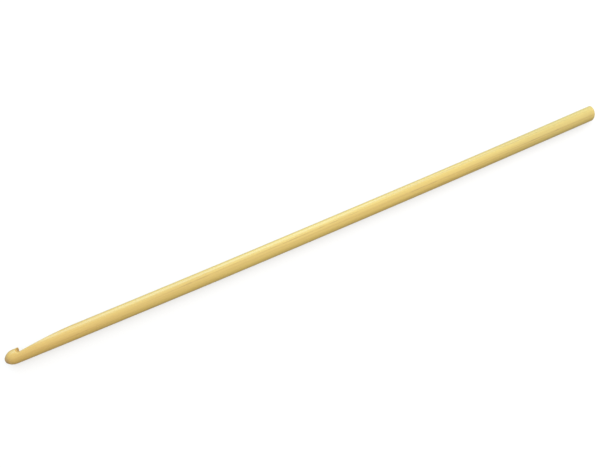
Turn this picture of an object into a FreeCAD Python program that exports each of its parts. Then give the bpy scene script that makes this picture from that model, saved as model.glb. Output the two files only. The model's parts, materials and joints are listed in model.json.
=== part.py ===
"""A bamboo crochet hook, 3.5 mm thick and 150 mm long, carved from one round stick.

It lies along X on the plane z = 0, with the nose at -X, the butt at +X and the notch open towards +Y.
The origin is under the middle of its length. All sizes are in millimetres.

The real hook is one piece. It is modelled as two solids of one body that meet face to face just behind
the throat, so that the short head keeps its notch open in collision and the shaft is a plain round rod.
"""

import FreeCAD, Part

import math
import os

# The stick
LENGTH = 150.0
DIAMETER = 3.5
BUTT_EDGE_RADIUS = 0.6

# The nose, a blunt ogive that ends in a small flat; the head thins a little towards it
NOSE_LENGTH = 2.2
NOSE_DIAMETER = 3.38
NOSE_FLAT_DIAMETER = 1.1
NOSE_EDGE_RADIUS = 0.15

# The notch that catches the yarn, and the throat that slopes up behind it, with distances from the tip
LIP_POSITION = 3.45
LIP_UNDERCUT_DEG = 25.0
NOTCH_ROOT_RADIUS = 0.42
THROAT_END = 15.3
THROAT_THICKNESS = 2.3
THROAT_CROWN_RADIUS = 3.0
RIM_EDGE_RADIUS = 0.12
HEAD_LENGTH = 16.0  # where the head's solid ends and the shaft's begins, just behind the throat

RADIUS = DIAMETER / 2
NOSE_RADIUS = NOSE_DIAMETER / 2
TIP_X = -LENGTH / 2
HEAD_END_X = TIP_X + HEAD_LENGTH
BUTT_X = LENGTH / 2
CUT_MARGIN = 1.5  # how far the carving reaches outside the stick
CARVING_TURN_DEG = 90  # wide enough to pass both sides of the stick

ALONG = FreeCAD.Vector(1, 0, 0)
UP = FreeCAD.Vector(0, 0, 1)


def point(x, y):
    """A point in the horizontal plane through the stick's axis, which is y = 0 there."""
    return FreeCAD.Vector(x, y, 0)


def arc(centre, radius, start_deg, end_deg):
    """An arc in that plane, counterclockwise from start_deg to end_deg, where 0 degrees is +X."""
    return Part.makeCircle(radius, centre, UP, start_deg, end_deg)


def spun(edges, axis_y, degrees):
    """The solid swept by a closed outline that turns about the line y = axis_y."""
    face = Part.Face(Part.Wire(Part.__sortEdges__(edges)))
    return face.revolve(point(0, axis_y), ALONG, degrees)


def nose_outline():
    """The nose in profile: half of the flat, its worn edge, and the ogive up to the side of the stick."""
    drop = NOSE_RADIUS - NOSE_FLAT_DIAMETER / 2
    ogive_radius = (NOSE_LENGTH**2 + drop**2) / (2 * drop)
    ogive_centre = point(TIP_X + NOSE_LENGTH, NOSE_RADIUS - ogive_radius)
    edge_reach = NOSE_LENGTH - NOSE_EDGE_RADIUS
    edge_rise = math.sqrt((ogive_radius - NOSE_EDGE_RADIUS) ** 2 - edge_reach**2)
    edge_centre = ogive_centre + point(-edge_reach, edge_rise)
    meeting_deg = math.degrees(math.atan2(edge_rise, -edge_reach))
    return [
        Part.makeLine(point(TIP_X, 0), point(TIP_X, edge_centre.y)),
        arc(edge_centre, NOSE_EDGE_RADIUS, meeting_deg, 180),
        arc(ogive_centre, ogive_radius, 90, meeting_deg),
    ]


def uncarved_head():
    """The front of the round stick, nose included, before its notch and throat are cut."""
    edges = nose_outline() + [
        Part.makeLine(point(TIP_X + NOSE_LENGTH, NOSE_RADIUS), point(HEAD_END_X, RADIUS)),
        Part.makeLine(point(HEAD_END_X, RADIUS), point(HEAD_END_X, 0)),
        Part.makeLine(point(HEAD_END_X, 0), point(TIP_X, 0)),
    ]
    return spun(edges, 0, 360)


def carving():
    """The wood that is carved away: an undercut lip, a round root and a long straight throat.

    The outline turns about a line below the stick, so that the throat's surface is crowned.
    """
    lip = point(TIP_X + LIP_POSITION, NOSE_RADIUS)
    throat_end = point(TIP_X + THROAT_END, RADIUS)
    throat_height = THROAT_THICKNESS - NOSE_RADIUS
    slope = math.atan2(RADIUS - throat_height, throat_end.x - lip.x)
    undercut = math.radians(LIP_UNDERCUT_DEG)

    down_lip = point(-math.sin(undercut), -math.cos(undercut))
    off_lip = point(math.cos(undercut), -math.sin(undercut))
    off_throat = point(-math.sin(slope), math.cos(slope))
    lip_over_throat = (lip - throat_end).dot(off_throat)
    turn = undercut + slope
    lip_depth = (lip_over_throat - NOTCH_ROOT_RADIUS * (1 + math.sin(turn))) / math.cos(turn)
    root_centre = lip + down_lip * lip_depth + off_lip * NOTCH_ROOT_RADIUS
    lip_foot = root_centre - off_lip * NOTCH_ROOT_RADIUS
    throat_foot = root_centre - off_throat * NOTCH_ROOT_RADIUS

    lip_outside = lip - down_lip * (CUT_MARGIN / math.cos(undercut))
    throat_outside = throat_end + point(CUT_MARGIN, CUT_MARGIN * math.tan(slope))
    corner_outside = point(throat_outside.x, lip_outside.y)
    edges = [
        Part.makeLine(lip_outside, lip_foot),
        arc(root_centre, NOTCH_ROOT_RADIUS, 180 - LIP_UNDERCUT_DEG, 270 + math.degrees(slope)),
        Part.makeLine(throat_foot, throat_outside),
        Part.makeLine(throat_outside, corner_outside),
        Part.makeLine(corner_outside, lip_outside),
    ]
    crown_axis_y = throat_height - THROAT_CROWN_RADIUS
    cut = spun(edges, crown_axis_y, CARVING_TURN_DEG)
    cut.rotate(point(0, crown_axis_y), ALONG, -CARVING_TURN_DEG / 2)
    return cut


def on_carving_rim(edge):
    """Whether the edge is where the carving meets the stick: only there is an edge a free curve."""
    return isinstance(edge.Curve, Part.BSplineCurve)


def hook_head():
    """The nose, lip, notch and throat, with the rim of the carving worn round."""
    stick = uncarved_head()
    stick.rotate(FreeCAD.Vector(0, 0, 0), ALONG, 180)  # turns the seam away from the notch
    head = stick.cut(carving()).Solids[0]
    rim = [edge for edge in head.Edges if on_carving_rim(edge)]
    return head.makeFillet(RIM_EDGE_RADIUS, rim).Solids[0]


def shaft():
    """The plain round shaft that the hand holds, with its square-cut, rounded butt."""
    butt_round_centre = point(BUTT_X - BUTT_EDGE_RADIUS, RADIUS - BUTT_EDGE_RADIUS)
    edges = [
        Part.makeLine(point(HEAD_END_X, 0), point(HEAD_END_X, RADIUS)),
        Part.makeLine(point(HEAD_END_X, RADIUS), point(butt_round_centre.x, RADIUS)),
        arc(butt_round_centre, BUTT_EDGE_RADIUS, 0, 90),
        Part.makeLine(point(BUTT_X, butt_round_centre.y), point(BUTT_X, 0)),
        Part.makeLine(point(BUTT_X, 0), point(HEAD_END_X, 0)),
    ]
    return spun(edges, 0, 360)


def main():
    os.makedirs("parts", exist_ok=True)
    nodes = {"hook_head": hook_head(), "shaft": shaft()}
    for name, solid in nodes.items():
        solid.translate(UP * RADIUS)
        solid.exportStep("parts/" + name + ".step")


main()
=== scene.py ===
"""A bamboo crochet hook, 150 mm long and 3.5 mm thick, lying on a pale studio floor.

The real hook is one carved stick, so one closed mesh, bamboo_hook, stands for both CAD nodes. The mesh is
a stack of rings from the nose to the butt. Along the shaft they are square to the stick. Around the notch
they lean with the undercut lip, so that one stack follows the overhang without folding over itself.

The mesh code works in millimetres in the frame's axes: x runs from the nose to the butt, and y points to
the side that the notch opens to. An angle around the stick is 0 at +y and turns towards +z. What goes to
Blender is in metres.
"""

import json
import math
import random

import bpy
import numpy as np
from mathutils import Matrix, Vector


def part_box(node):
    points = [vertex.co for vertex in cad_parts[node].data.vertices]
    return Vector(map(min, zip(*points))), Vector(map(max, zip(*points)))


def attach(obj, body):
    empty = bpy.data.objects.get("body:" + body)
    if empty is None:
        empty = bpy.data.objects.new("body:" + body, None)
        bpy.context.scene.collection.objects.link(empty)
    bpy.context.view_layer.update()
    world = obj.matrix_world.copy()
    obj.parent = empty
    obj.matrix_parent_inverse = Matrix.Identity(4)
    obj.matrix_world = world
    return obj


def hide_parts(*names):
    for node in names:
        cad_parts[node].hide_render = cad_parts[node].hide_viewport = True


MM = 0.001

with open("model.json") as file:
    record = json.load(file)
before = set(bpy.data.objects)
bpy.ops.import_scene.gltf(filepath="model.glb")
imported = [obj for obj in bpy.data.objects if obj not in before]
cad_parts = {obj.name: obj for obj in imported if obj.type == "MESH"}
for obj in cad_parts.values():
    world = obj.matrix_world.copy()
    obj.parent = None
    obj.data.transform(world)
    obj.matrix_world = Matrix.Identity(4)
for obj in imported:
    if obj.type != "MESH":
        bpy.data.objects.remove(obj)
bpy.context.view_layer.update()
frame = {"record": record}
mounts = {mount["name"]: mount for mount in frame["record"]["mounts"]}

# The stick, as the frame and the record give it
TIP_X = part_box("hook_head")[0].x / MM
HEAD_END_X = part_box("hook_head")[1].x / MM
BUTT_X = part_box("shaft")[1].x / MM
RADIUS = mounts["shaft"]["dims"]["r_mm"]

# The nose, as in the CAD part apart from its lean
NOSE_LENGTH = 2.2
NOSE_RADIUS = 1.69
NOSE_FLAT_RADIUS = 0.55
NOSE_EDGE_RADIUS = 0.15
NOSE_LEAN = -0.10  # how far the worn tip stands off the stick's axis; below 0 is away from the notch's side

# The notch and the throat, as in the CAD part apart from the belly and the wider worn rim
ROOT_X, ROOT_Y = (mounts["yarn_notch"]["pos_m"][axis] / MM for axis in (0, 1))  # the centre of its arc
ROOT_RADIUS = 0.42
UNDERCUT = math.radians(25.0)
THROAT_END_X = TIP_X + 15.3
THROAT_HEIGHT = 0.61  # the slope's height over the stick's axis, straight below the lip
THROAT_CROWN_RADIUS = 3.0
CROWN_AXIS_Y = THROAT_HEIGHT - THROAT_CROWN_RADIUS
THROAT_BELLY = 0.09  # how far the sanded throat stands proud of a straight slope at its middle
RIM_SOFTNESS = 0.16  # how widely the carving's sharp rim is worn round

# The butt, cut a little out of square, sanded a little domed, and worn more away from the notch's side
BUTT_EDGE_RADIUS = 0.75  # of the worn edge, halfway between its two sides
BUTT_EDGE_CHANGE = 0.4  # how much smaller that is on the notch's side, and larger on the other
BUTT_SLANT = 0.065  # the slope of the cut, which leaves the notch's side the longer one
BUTT_SLANT_FADE = (-0.3, 1.0)  # from none of it to all of it, with the side at 0 and the face at 1
BUTT_DOME = 0.15  # how far the middle of the face stands out

# How far a real stick is from a perfect one
BOW = 0.46  # how far its middle is from a line between its ends
LOBING = 0.012  # how far it is out of round
LOBES = ((2, 1.0, 17.0), (3, 0.6, -9.0))  # how many around, how strong, and mm along for a radian's twist
ROUND_END = 3.0  # how near to its ends the lobes fade out
FIBRE_RELIEF = 0.006  # how far the bundles of fibre stand out
PORE_DEPTH = 0.012  # of the open pores on its side
PIT_DEPTH = 0.05  # of the pores that are cut across at its ends

# The mesh: columns around the stick, and the steps and numbers of the rings along it
COLUMNS = 192
NOSE_FACE_RINGS = 10
NOSE_EDGE_RINGS = 10
NOSE_EDGE_SWEEP = 0.45 * math.pi  # they are spaced as if this far round an arc, closest at the tip
OGIVE_GAP = 0.02  # from the last of them to the next ring
HEAD_STEP = 0.06
LEANING_RINGS = 40  # on the nose, up to the lip
LIP_WALL_RINGS = 16
ROOT_RINGS = 24
THROAT_STEP = 0.15
CARVING_OVERRUN = 3.0  # how far the carving's outline goes on behind the throat, outside the stick
SHAFT_STEP = 0.5
SHAFT_RINGS_END_X = BUTT_X - 1.0
BUTT_EDGE_RINGS = 14
BUTT_FACE_RINGS = 20
LEAN_ROUNDS = 12  # how often a leaning ring's radius is worked out again, from where it then lies

# How far the rings lean: a point's x shifts by this much for each mm that it is towards the notch's side
LEAN_START_X = TIP_X + 1.0  # where the rings begin to lean
LEAN_END_X = TIP_X + 9.0  # where they are square to the stick again
LIP_LEAN = 0.53
FOOT_LEAN = 0.44
THROAT_LEAN = 0.30

# The bundles of fibre in the paler pith, in staggered rows, running a little out of line with the stick
BAMBOO_SEED = 11
BUNDLE_GRID = range(-5, 6)  # the numbers of their rows and columns, which more than cover the stick
BUNDLE_PITCH = 0.62
ROW_SPACING = math.sin(math.pi / 3)  # from row to row, as a share of the pitch
BUNDLE_SCATTER = 0.16
BUNDLE_RADIUS = 0.15
BUNDLE_SIZES = (0.75, 1.3)  # the smallest and the largest, as shares of that radius
BUNDLE_DRIFT = (0.004, -0.0025)  # in y and z, for each mm along the stick
BUNDLE_SWAY = 0.05  # to each side
SWAY_LENGTH = 9.0  # mm along the stick for each radian of sway
FIBRE_FADE = (1.3, 0.6)  # how far from a bundle's heart its fibre begins and is full, in bundle radii
PORE_FADE = (0.5, 0.2)  # the same for its pore
POLISHED_LENGTH = 1.5  # of the nose, where use has polished the pores shut
FACE_RELIEF_FADE = (1.0, 0.85)  # where an end face's relief begins and is full, with its rim at 1

# The bamboo's colours, how strongly its streaks, fibre and pores show, and its rougher ends
PALE_PITH = (0.645, 0.465, 0.104, 1)
DARK_PITH = (0.59, 0.403, 0.083, 1)
STREAK_COLOUR = (0.50, 0.305, 0.057, 1)
FIBRE_COLOUR = (0.45, 0.264, 0.052, 1)
PORE_COLOUR = (0.12, 0.06, 0.02, 1)
STREAK_SHARE = 0.25
FIBRE_SHARE = 0.25
PORE_SHARE = 0.4
CUT_ROUGHNESS = 0.25  # how much rougher the wood is where it is cut across

# What multiplies the colour towards the ends, each with where it begins and is full, and on a cut face
HEAD_TINT = (0.965, 0.895, 0.82, 1)
HEAD_TINT_X = (TIP_X + 38.0, TIP_X + 12.0)
BUTT_TINT = (0.9, 0.94, 1.02, 1)
BUTT_TINT_X = (BUTT_X - 42.0, BUTT_X - 12.0)
# Darker towards the nose tip
NOSE_TINT = (0.66, 0.64, 0.85, 1)
NOSE_TINT_X = (TIP_X + 1.3, TIP_X + 0.15)
# Paler and bluer where the fibres are cut across: partly the cut wood's own colour, partly painted light
# that lifts the shade on the lip's undercut wall
CUT_PALENESS_AND_PAINTED_LIGHT = (1.15, 1.15, 1.6, 1)

# The light from all around: its evenness, how much more comes from behind (+y) and from above, and the
# least that comes from anywhere
SKY_EVEN = 0.72
SKY_FROM_BEHIND = 0.17
SKY_FROM_ABOVE = 0.56
SKY_LEAST = 0.22

FLOOR_HALF_WIDTH = 4.0  # metres

around = np.linspace(0.0, 2.0 * math.pi, COLUMNS, endpoint=False)


def smooth_step(low, high, value):
    """0 below low, 1 above high and an even curve between. With low above high it falls instead."""
    t = np.clip((value - low) / (high - low), 0.0, 1.0)
    return t * t * (3.0 - 2.0 * t)


def smooth_min(first, second, softness):
    """The smaller of two radii, with the corner where they cross worn round."""
    overlap = np.maximum(softness - np.abs(first - second), 0.0)
    return np.minimum(first, second) - overlap**2 / (4.0 * softness)


def stick_radius(x):
    """The radius of the stick at x before carving: worn edge, ogive, thinning head and plain shaft."""
    drop = NOSE_RADIUS - NOSE_FLAT_RADIUS
    ogive_radius = (NOSE_LENGTH**2 + drop**2) / (2 * drop)
    shoulder_x = TIP_X + NOSE_LENGTH
    ogive_y = NOSE_RADIUS - ogive_radius
    edge_reach = NOSE_LENGTH - NOSE_EDGE_RADIUS
    edge_rise = math.sqrt((ogive_radius - NOSE_EDGE_RADIUS) ** 2 - edge_reach**2)
    edge_x = TIP_X + NOSE_EDGE_RADIUS
    edge = ogive_y + edge_rise + np.sqrt(np.maximum(NOSE_EDGE_RADIUS**2 - (x - edge_x) ** 2, 0.0))
    ogive = ogive_y + np.sqrt(np.maximum(ogive_radius**2 - np.minimum(x - shoulder_x, 0.0) ** 2, 0.0))
    meeting_x = shoulder_x - edge_reach * ogive_radius / (ogive_radius - NOSE_EDGE_RADIUS)
    taper = np.clip((x - shoulder_x) / (HEAD_END_X - shoulder_x), 0.0, 1.0)
    body = ogive + (RADIUS - NOSE_RADIUS) * taper
    return np.where(x < meeting_x, edge, body)


def lip_wall():
    """The lip's undercut wall in profile, from above the rim down to the root: x, y and the ring's lean."""
    foot = np.array([-math.cos(UNDERCUT), math.sin(UNDERCUT)]) * ROOT_RADIUS + (ROOT_X, ROOT_Y)
    y = np.linspace(NOSE_RADIUS + RIM_SOFTNESS, foot[1], LIP_WALL_RINGS)
    x = foot[0] + (y - foot[1]) * math.tan(UNDERCUT)
    return x, y, np.linspace(LIP_LEAN, FOOT_LEAN, LIP_WALL_RINGS)


def throat_slope():
    """The angle of the straight slope that runs from the root's arc to the throat's end."""
    run, rise = THROAT_END_X - ROOT_X, RADIUS - ROOT_Y
    return math.atan2(rise, run) + math.asin(ROOT_RADIUS / math.hypot(run, rise))


def notch_root():
    """The root's arc in profile, between the lip's wall and the throat: x, y and the ring's lean."""
    turn = np.linspace(math.pi - UNDERCUT, 1.5 * math.pi + throat_slope(), ROOT_RINGS)
    x = ROOT_X + ROOT_RADIUS * np.cos(turn)
    y = ROOT_Y + ROOT_RADIUS * np.sin(turn)
    lean = np.linspace(FOOT_LEAN, THROAT_LEAN, ROOT_RINGS)
    return x[1:], y[1:], lean[1:]


def throat(start_x, start_y):
    """The throat in profile, from where the root's arc ends: x, y and the ring's lean."""
    x = np.arange(start_x + HEAD_STEP, THROAT_END_X + CARVING_OVERRUN, THROAT_STEP)
    along = (x - start_x) / (THROAT_END_X - start_x)
    y = start_y + (x - start_x) * math.tan(throat_slope())
    y += 4.0 * THROAT_BELLY * along * np.maximum(1.0 - along, 0.0)
    return x, y, THROAT_LEAN * smooth_step(LEAN_END_X, start_x, x)


def carving_rings():
    """The carving's outline, from above the lip to behind the throat: rows of x, y and the ring's lean."""
    root = notch_root()
    stretches = (lip_wall(), root, throat(root[0][-1], root[1][-1]))
    return np.concatenate([np.stack(stretch, axis=1) for stretch in stretches])


def nose_rings():
    """The rings from the tip to the lip, which begin to lean on the way: rows of x on the axis and lean."""
    turn = np.linspace(0.0, NOSE_EDGE_SWEEP, NOSE_EDGE_RINGS)
    edge = TIP_X + NOSE_EDGE_RADIUS * (1.0 - np.cos(turn))
    ogive = np.arange(edge[-1] + OGIVE_GAP, LEAN_START_X, HEAD_STEP)
    first_carved = carving_rings()[0]
    lip_x = first_carved[0] - LIP_LEAN * first_carved[1]
    share = np.linspace(0.0, 1.0, LEANING_RINGS)[:-1]
    leaning = LEAN_START_X + (lip_x - LEAN_START_X) * share
    upright = np.concatenate([edge, ogive])
    return np.concatenate([
        np.stack([upright, np.zeros_like(upright)], axis=1),
        np.stack([leaning, LIP_LEAN * share], axis=1),
    ])


def carved_grid():
    """Each ring's x and radius around the stick, from the tip to where the butt's worn edge begins."""
    nose = nose_rings()
    carving = carving_rings()
    shaft_x = np.arange(carving[-1, 0] + SHAFT_STEP, SHAFT_RINGS_END_X, SHAFT_STEP)
    axis_x = np.concatenate([nose[:, 0], carving[:, 0] - carving[:, 2] * carving[:, 1], shaft_x])
    lean = np.concatenate([nose[:, 1], carving[:, 2], np.zeros_like(shaft_x)])
    carved_y = np.full(len(axis_x), 2.0 * RADIUS)  # which is well outside the stick where nothing is carved
    carved_y[len(nose):len(nose) + len(carving)] = carving[:, 1]

    reach = (carved_y - CROWN_AXIS_Y)[:, None]
    crown = CROWN_AXIS_Y * np.cos(around) + np.sqrt(reach**2 - (CROWN_AXIS_Y * np.sin(around)) ** 2)
    radius = np.full(crown.shape, RADIUS)
    for _ in range(LEAN_ROUNDS):
        x = axis_x[:, None] + lean[:, None] * radius * np.cos(around)
        radius = smooth_min(stick_radius(x), crown, RIM_SOFTNESS)
    return x, radius


def domed(radius):
    """How far the butt's face stands out at this radius."""
    return BUTT_DOME * (1.0 - (radius / RADIUS) ** 2)


def butt_grid():
    """The rings of the worn edge at the butt, which is a little out of square."""
    turn = np.linspace(0.0, 0.5 * math.pi, BUTT_EDGE_RINGS)[:, None]
    edge = BUTT_EDGE_RADIUS - BUTT_EDGE_CHANGE * np.cos(around)
    radius = RADIUS - edge * (1.0 - np.cos(turn))
    slant = BUTT_SLANT * (radius * np.cos(around) - RADIUS) * smooth_step(*BUTT_SLANT_FADE, np.sin(turn))
    return BUTT_X - edge * (1.0 - np.sin(turn)) + slant + domed(radius), radius


def vascular_bundles():
    """The bundles of fibre across the stick, as rows of y, z and radius from the stick's axis."""
    rng = random.Random(BAMBOO_SEED)
    rows = []
    for row in BUNDLE_GRID:
        for column in BUNDLE_GRID:
            y = (column + 0.5 * (row % 2)) * BUNDLE_PITCH + rng.uniform(-1, 1) * BUNDLE_SCATTER
            z = row * BUNDLE_PITCH * ROW_SPACING + rng.uniform(-1, 1) * BUNDLE_SCATTER
            rows.append((y, z, BUNDLE_RADIUS * rng.uniform(*BUNDLE_SIZES)))
    return rows


def bamboo_field(points):
    """How much each point lies in a bundle of fibre, and in the open pore at its heart, each 0 to 1."""
    x, y, z = points[..., 0], points[..., 1], points[..., 2] - RADIUS
    fibre = np.zeros(x.shape)
    pore = np.zeros(x.shape)
    for number, (bundle_y, bundle_z, radius) in enumerate(vascular_bundles()):
        sway = BUNDLE_SWAY * np.sin(x / SWAY_LENGTH + number)
        across = y - bundle_y - BUNDLE_DRIFT[0] * x - sway
        up = z - bundle_z - BUNDLE_DRIFT[1] * x + sway
        distance = np.hypot(across, up) / radius
        fibre = np.maximum(fibre, smooth_step(*FIBRE_FADE, distance))
        pore = np.maximum(pore, smooth_step(*PORE_FADE, distance))
    return fibre, pore * smooth_step(TIP_X, TIP_X + POLISHED_LENGTH, x)


def placed(x, radius, angle):
    """Points in the frame, in mm, with the bow of the stick and the lean of its worn tip."""
    tip_share = np.clip((TIP_X + NOSE_LENGTH - x) / NOSE_LENGTH, 0.0, 1.0)
    bend = BOW * ((x / BUTT_X) ** 2 - 0.5) + NOSE_LEAN * tip_share**2  # half the bow to each side
    return np.stack([x, radius * np.cos(angle) + bend, RADIUS + radius * np.sin(angle)], axis=-1)


def side_points():
    """The grid of points on the stick's side, and its bamboo pattern."""
    grids = [carved_grid(), butt_grid()]
    x = np.concatenate([grid[0] for grid in grids])
    radius = np.concatenate([grid[1] for grid in grids])
    fibre, pore = bamboo_field(placed(x, radius, around))
    lobes = sum(strength * np.cos(count * around + x / twist) for count, strength, twist in LOBES)
    fade = smooth_step(TIP_X, TIP_X + ROUND_END, x) * smooth_step(BUTT_X, BUTT_X - ROUND_END, x)
    worn = radius + LOBING * lobes * fade + FIBRE_RELIEF * fibre - PORE_DEPTH * pore
    return placed(x, worn, around), fibre, pore


def end_face(rim, outward, rings, dome):
    """Rings that close an end inside its rim, domed this far, with the fibres' cut ends as shallow pits.

    They come with their bamboo pattern, and with the point at the face's centre.
    """
    centre = rim.mean(axis=0)
    share = np.linspace(1.0, 0.0, rings + 1)[1:-1, None]
    points = centre + (rim - centre) * share[..., None]
    fibre, pore = bamboo_field(points)
    relief = (FIBRE_RELIEF * fibre - PIT_DEPTH * pore) * smooth_step(*FACE_RELIEF_FADE, share)
    points[..., 0] += outward * (relief + dome * (1.0 - share**2))
    centre[0] += outward * dome
    return points, fibre, pore, centre


def ring_faces(first, second):
    """The quads between two rings that start at these point numbers."""
    return [
        (first + i, first + (i + 1) % COLUMNS, second + (i + 1) % COLUMNS, second + i)
        for i in range(COLUMNS)
    ]


def hook_mesh():
    """The whole hook as one closed mesh, with its bamboo pattern stored on its points."""
    side, fibre, pore = side_points()
    butt_dome = BUTT_DOME - domed(RADIUS - BUTT_EDGE_RADIUS)
    nose, nose_fibre, nose_pore, nose_centre = end_face(side[0], -1, NOSE_FACE_RINGS, 0.0)
    butt, butt_fibre, butt_pore, butt_centre = end_face(side[-1], 1, BUTT_FACE_RINGS, butt_dome)
    rings = np.concatenate([nose[::-1], side, butt])
    points = np.concatenate([rings.reshape(-1, 3), [nose_centre, butt_centre]])
    ends = np.zeros(2)
    fibre = np.concatenate([nose_fibre[::-1].ravel(), fibre.ravel(), butt_fibre.ravel(), ends])
    pore = np.concatenate([nose_pore[::-1].ravel(), pore.ravel(), butt_pore.ravel(), ends])

    last_ring = len(rings) - 1
    nose_point, butt_point = len(points) - 2, len(points) - 1
    faces = []
    for ring in range(last_ring):
        faces += ring_faces(ring * COLUMNS, (ring + 1) * COLUMNS)
    for i in range(COLUMNS):
        after = (i + 1) % COLUMNS
        faces.append((nose_point, after, i))
        faces.append((last_ring * COLUMNS + i, last_ring * COLUMNS + after, butt_point))

    mesh = bpy.data.meshes.new("bamboo_hook")
    mesh.from_pydata((points * MM).tolist(), [], faces)
    for name, values in (("fibre", fibre), ("pore", pore)):
        stored_values = mesh.attributes.new(name, "FLOAT", "POINT").data
        stored_values.foreach_set("value", values.astype(np.float32))
    mesh.shade_smooth()
    mesh.update()
    return mesh


def feed(tree, socket, value):
    """Gives a node's input another node's output, or a fixed value."""
    if isinstance(value, bpy.types.NodeSocket):
        tree.links.new(value, socket)
    else:
        socket.default_value = value


def mixed(tree, factor, first, second, blend="MIX"):
    """The mix of two colours, where each input is an output socket or a fixed value."""
    node = tree.nodes.new("ShaderNodeMix")
    node.data_type = "RGBA"
    node.blend_type = blend
    feed(tree, node.inputs[0], factor)
    feed(tree, node.inputs[6], first)  # the colour sockets, after those for numbers and vectors
    feed(tree, node.inputs[7], second)
    return node.outputs[2]


def maths(tree, operation, *values):
    """The result of a Math node."""
    node = tree.nodes.new("ShaderNodeMath")
    node.operation = operation
    for socket, value in zip(node.inputs, values):
        feed(tree, socket, value)
    return node.outputs[0]


def ranged(tree, value, low, high, to_low=0.0, to_high=1.0):
    """A value taken smoothly from one range to another."""
    node = tree.nodes.new("ShaderNodeMapRange")
    node.interpolation_type = "SMOOTHSTEP"
    for socket, given in zip(node.inputs, (value, low, high, to_low, to_high)):
        feed(tree, socket, given)
    return node.outputs[0]


def grain_noise(tree, place, per_mm, stretch, detail=2.0):
    """Noise with per_mm features per millimetre across the stick, drawn out along it stretch times."""
    scaled = tree.nodes.new("ShaderNodeVectorMath")
    scaled.operation = "MULTIPLY"
    feed(tree, scaled.inputs[0], place)
    scaled.inputs[1].default_value = (per_mm / stretch / MM, per_mm / MM, per_mm / MM)
    node = tree.nodes.new("ShaderNodeTexNoise")
    node.inputs["Scale"].default_value = 1.0
    node.inputs["Detail"].default_value = detail
    feed(tree, node.inputs["Vector"], scaled.outputs[0])
    return node.outputs["Fac"]


def stored(tree, name):
    """A pattern stored on the mesh's points."""
    node = tree.nodes.new("ShaderNodeAttribute")
    node.attribute_name = name
    return node.outputs["Fac"]


def part_x(tree, vector):
    """The x of a vector, which runs along the stick."""
    node = tree.nodes.new("ShaderNodeSeparateXYZ")
    feed(tree, node.inputs[0], vector)
    return node.outputs["X"]


def between(tree, along, stretch):
    """0 before the first and 1 past the second of two places along the stick, which are in mm."""
    return ranged(tree, along, stretch[0] * MM, stretch[1] * MM)


def bamboo_colour(tree, place, streak, end_grain):
    """Pale pith with darker streaks, fibre and open pores, whose tint changes towards both ends.

    The head is more golden and the butt end duller, as use has left them, and the nose tip is darker. A cut
    face is paler and bluer: partly the cut wood's own colour, partly painted light that lifts the shade on
    the lip's undercut wall.
    """
    tone = ranged(tree, grain_noise(tree, place, per_mm=0.5, stretch=24.0), low=0.3, high=0.7)
    pith = mixed(tree, tone, PALE_PITH, DARK_PITH)
    streaked = mixed(tree, maths(tree, "MULTIPLY", streak, STREAK_SHARE), pith, STREAK_COLOUR)
    fibre = maths(tree, "MULTIPLY", stored(tree, "fibre"), FIBRE_SHARE)
    fibred = mixed(tree, fibre, streaked, FIBRE_COLOUR)
    dashes = ranged(tree, grain_noise(tree, place, per_mm=4.0, stretch=12.0), low=0.45, high=0.6)
    open_pore = maths(tree, "MULTIPLY", stored(tree, "pore"), maths(tree, "MAXIMUM", dashes, end_grain))
    pored = mixed(tree, maths(tree, "MULTIPLY", open_pore, PORE_SHARE), fibred, PORE_COLOUR)

    along = part_x(tree, place)
    golden = mixed(tree, between(tree, along, HEAD_TINT_X), pored, HEAD_TINT, "MULTIPLY")
    dulled = mixed(tree, between(tree, along, BUTT_TINT_X), golden, BUTT_TINT, "MULTIPLY")
    # Paler and bluer on cut faces: partly the wood's own colour, partly painted light on the lip's shaded
    # wall
    paler_cut_and_painted_light = mixed(tree, end_grain, dulled, CUT_PALENESS_AND_PAINTED_LIGHT, "MULTIPLY")
    return mixed(tree, between(tree, along, NOSE_TINT_X), paler_cut_and_painted_light, NOSE_TINT, "MULTIPLY")


def bamboo_material():
    """Sanded, lightly waxed bamboo, a little rougher where its fibres are cut across."""
    material = bpy.data.materials.new("sanded_bamboo")
    material.use_nodes = True
    tree = material.node_tree
    shader = tree.nodes["Principled BSDF"]
    coords = tree.nodes.new("ShaderNodeTexCoord")
    place = coords.outputs["Object"]
    facing_along = maths(tree, "ABSOLUTE", part_x(tree, coords.outputs["Normal"]))
    end_grain = ranged(tree, facing_along, low=0.5, high=0.95)
    streak_noise = grain_noise(tree, place, per_mm=5.0, stretch=60.0, detail=3.0)
    streak = ranged(tree, streak_noise, low=0.35, high=0.72)
    relief = maths(tree, "ADD", grain_noise(tree, place, per_mm=18.0, stretch=40.0), streak)
    feed(tree, shader.inputs["Base Color"], bamboo_colour(tree, place, streak, end_grain))

    side_roughness = ranged(tree, relief, low=0.4, high=1.6, to_low=0.36, to_high=0.5)
    rougher_ends = maths(tree, "MULTIPLY", end_grain, CUT_ROUGHNESS)
    feed(tree, shader.inputs["Roughness"], maths(tree, "ADD", side_roughness, rougher_ends))
    shader.inputs["Specular IOR Level"].default_value = 0.75
    shader.inputs["Coat Weight"].default_value = 0.7
    shader.inputs["Coat Roughness"].default_value = 0.4

    bump = tree.nodes.new("ShaderNodeBump")
    bump.inputs["Strength"].default_value = 0.5
    bump.inputs["Distance"].default_value = 0.008 * MM
    feed(tree, bump.inputs["Height"], relief)
    feed(tree, shader.inputs["Normal"], bump.outputs[0])
    return material


def bamboo_hook():
    """The hook itself, standing for both CAD nodes."""
    hook = bpy.data.objects.new("bamboo_hook", hook_mesh())
    bpy.context.collection.objects.link(hook)
    hook.data.materials.append(bamboo_material())
    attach(hook, "root")
    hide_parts("hook_head", "shaft")


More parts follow.
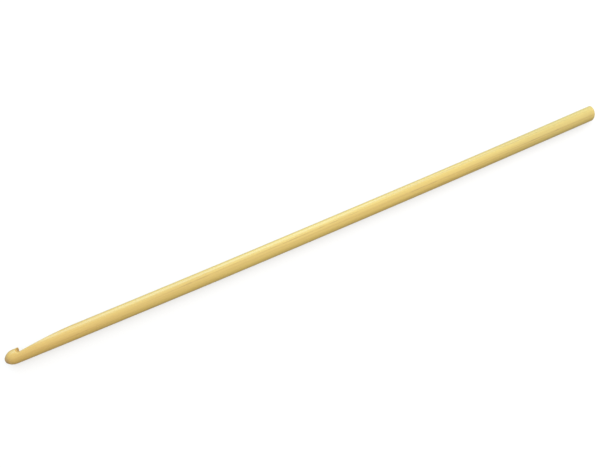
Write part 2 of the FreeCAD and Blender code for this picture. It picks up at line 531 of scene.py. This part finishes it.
def floor_material():
    """The white top of a light table, which glows a little and so keeps the shadow pale."""
    material = bpy.data.materials.new("light_table")
    material.use_nodes = True
    shader = material.node_tree.nodes["Principled BSDF"]
    shader.inputs["Base Color"].default_value = (0.34, 0.34, 0.34, 1)
    shader.inputs["Roughness"].default_value = 0.9
    shader.inputs["Specular IOR Level"].default_value = 0.2
    shader.inputs["Emission Color"].default_value = (1.0, 1.0, 1.0, 1)
    shader.inputs["Emission Strength"].default_value = 0.61
    return material


def studio_floor():
    """The flat floor that the hook lies on. It throws no light on the hook: it glows for the shadow only."""
    half = FLOOR_HALF_WIDTH
    corners = [(-half, -half, 0), (half, -half, 0), (half, half, 0), (-half, half, 0)]
    mesh = bpy.data.meshes.new("studio_floor")
    mesh.from_pydata(corners, [], [(0, 1, 2, 3)])
    mesh.materials.append(floor_material())
    floor = bpy.data.objects.new("studio_floor", mesh)
    floor.visible_diffuse = False
    floor.visible_glossy = False
    bpy.context.collection.objects.link(floor)


def aimed(holder, azimuth_deg, elevation_deg, distance, target):
    """Puts a light or camera at this distance from the target, and points it there.

    It looks along +y at azimuth 0, and comes round towards +x as the azimuth grows.
    """
    azimuth, elevation = math.radians(azimuth_deg), math.radians(elevation_deg)
    back = Vector((
        math.sin(azimuth) * math.cos(elevation),
        -math.cos(azimuth) * math.cos(elevation),
        math.sin(elevation),
    ))
    holder.location = target + back * distance
    holder.rotation_euler = back.to_track_quat("Z", "Y").to_euler()
    bpy.context.collection.objects.link(holder)


def softbox(name, azimuth_deg, elevation_deg, size, power, tint):
    """A large soft light that faces the hook from 0.6 m away."""
    light = bpy.data.lights.new(name, "AREA")
    light.shape = "RECTANGLE"
    light.size, light.size_y = size
    light.energy = power
    light.color = tint
    holder = bpy.data.objects.new(name, light)
    aimed(holder, azimuth_deg, elevation_deg, distance=0.6, target=Vector((0, 0, 0)))
    return holder


def studio_sky():
    """Soft white light from all around, stronger from above and from behind."""
    world = bpy.data.worlds.new("studio")
    world.use_nodes = True
    tree = world.node_tree
    direction = tree.nodes.new("ShaderNodeTexCoord").outputs["Generated"]
    weighted = tree.nodes.new("ShaderNodeVectorMath")
    weighted.operation = "DOT_PRODUCT"
    feed(tree, weighted.inputs[0], direction)
    weighted.inputs[1].default_value = (0.0, SKY_FROM_BEHIND, SKY_FROM_ABOVE)
    strength = maths(tree, "ADD", weighted.outputs["Value"], SKY_EVEN)
    feed(tree, tree.nodes["Background"].inputs["Strength"], maths(tree, "MAXIMUM", strength, SKY_LEAST))
    tree.nodes["Background"].inputs["Color"].default_value = (1.0, 1.0, 1.0, 1)
    bpy.context.scene.world = world


def studio_lights():
    """Cool window light from low behind the hook, and a white light that looks into the notch."""
    softbox(
        "window_light", azimuth_deg=180.0, elevation_deg=22.0,
        size=(0.5, 0.4), power=1.85, tint=(0.44, 0.82, 1.0),
    )
    side_light = softbox(
        "side_light", azimuth_deg=90.0, elevation_deg=25.0,
        size=(0.5, 0.3), power=1.9, tint=(1.0, 1.0, 1.0),
    )
    side_light.visible_glossy = False  # else it glares along the whole stick when seen from the nose


def studio_camera():
    """The camera, nearly overhead, with the hook running from the lower left to the upper right."""
    camera = bpy.data.cameras.new("camera")
    camera.lens = 51.35
    camera.clip_start = 0.01
    holder = bpy.data.objects.new("camera", camera)
    near_middle = Vector((-2.7, 0.66, RADIUS)) * MM
    aimed(holder, azimuth_deg=-23.71, elevation_deg=74.0, distance=0.2, target=near_middle)
    bpy.context.scene.camera = holder


bamboo_hook()
studio_floor()
studio_sky()
studio_lights()
studio_camera()
bpy.context.scene.view_settings.view_transform = "Standard"
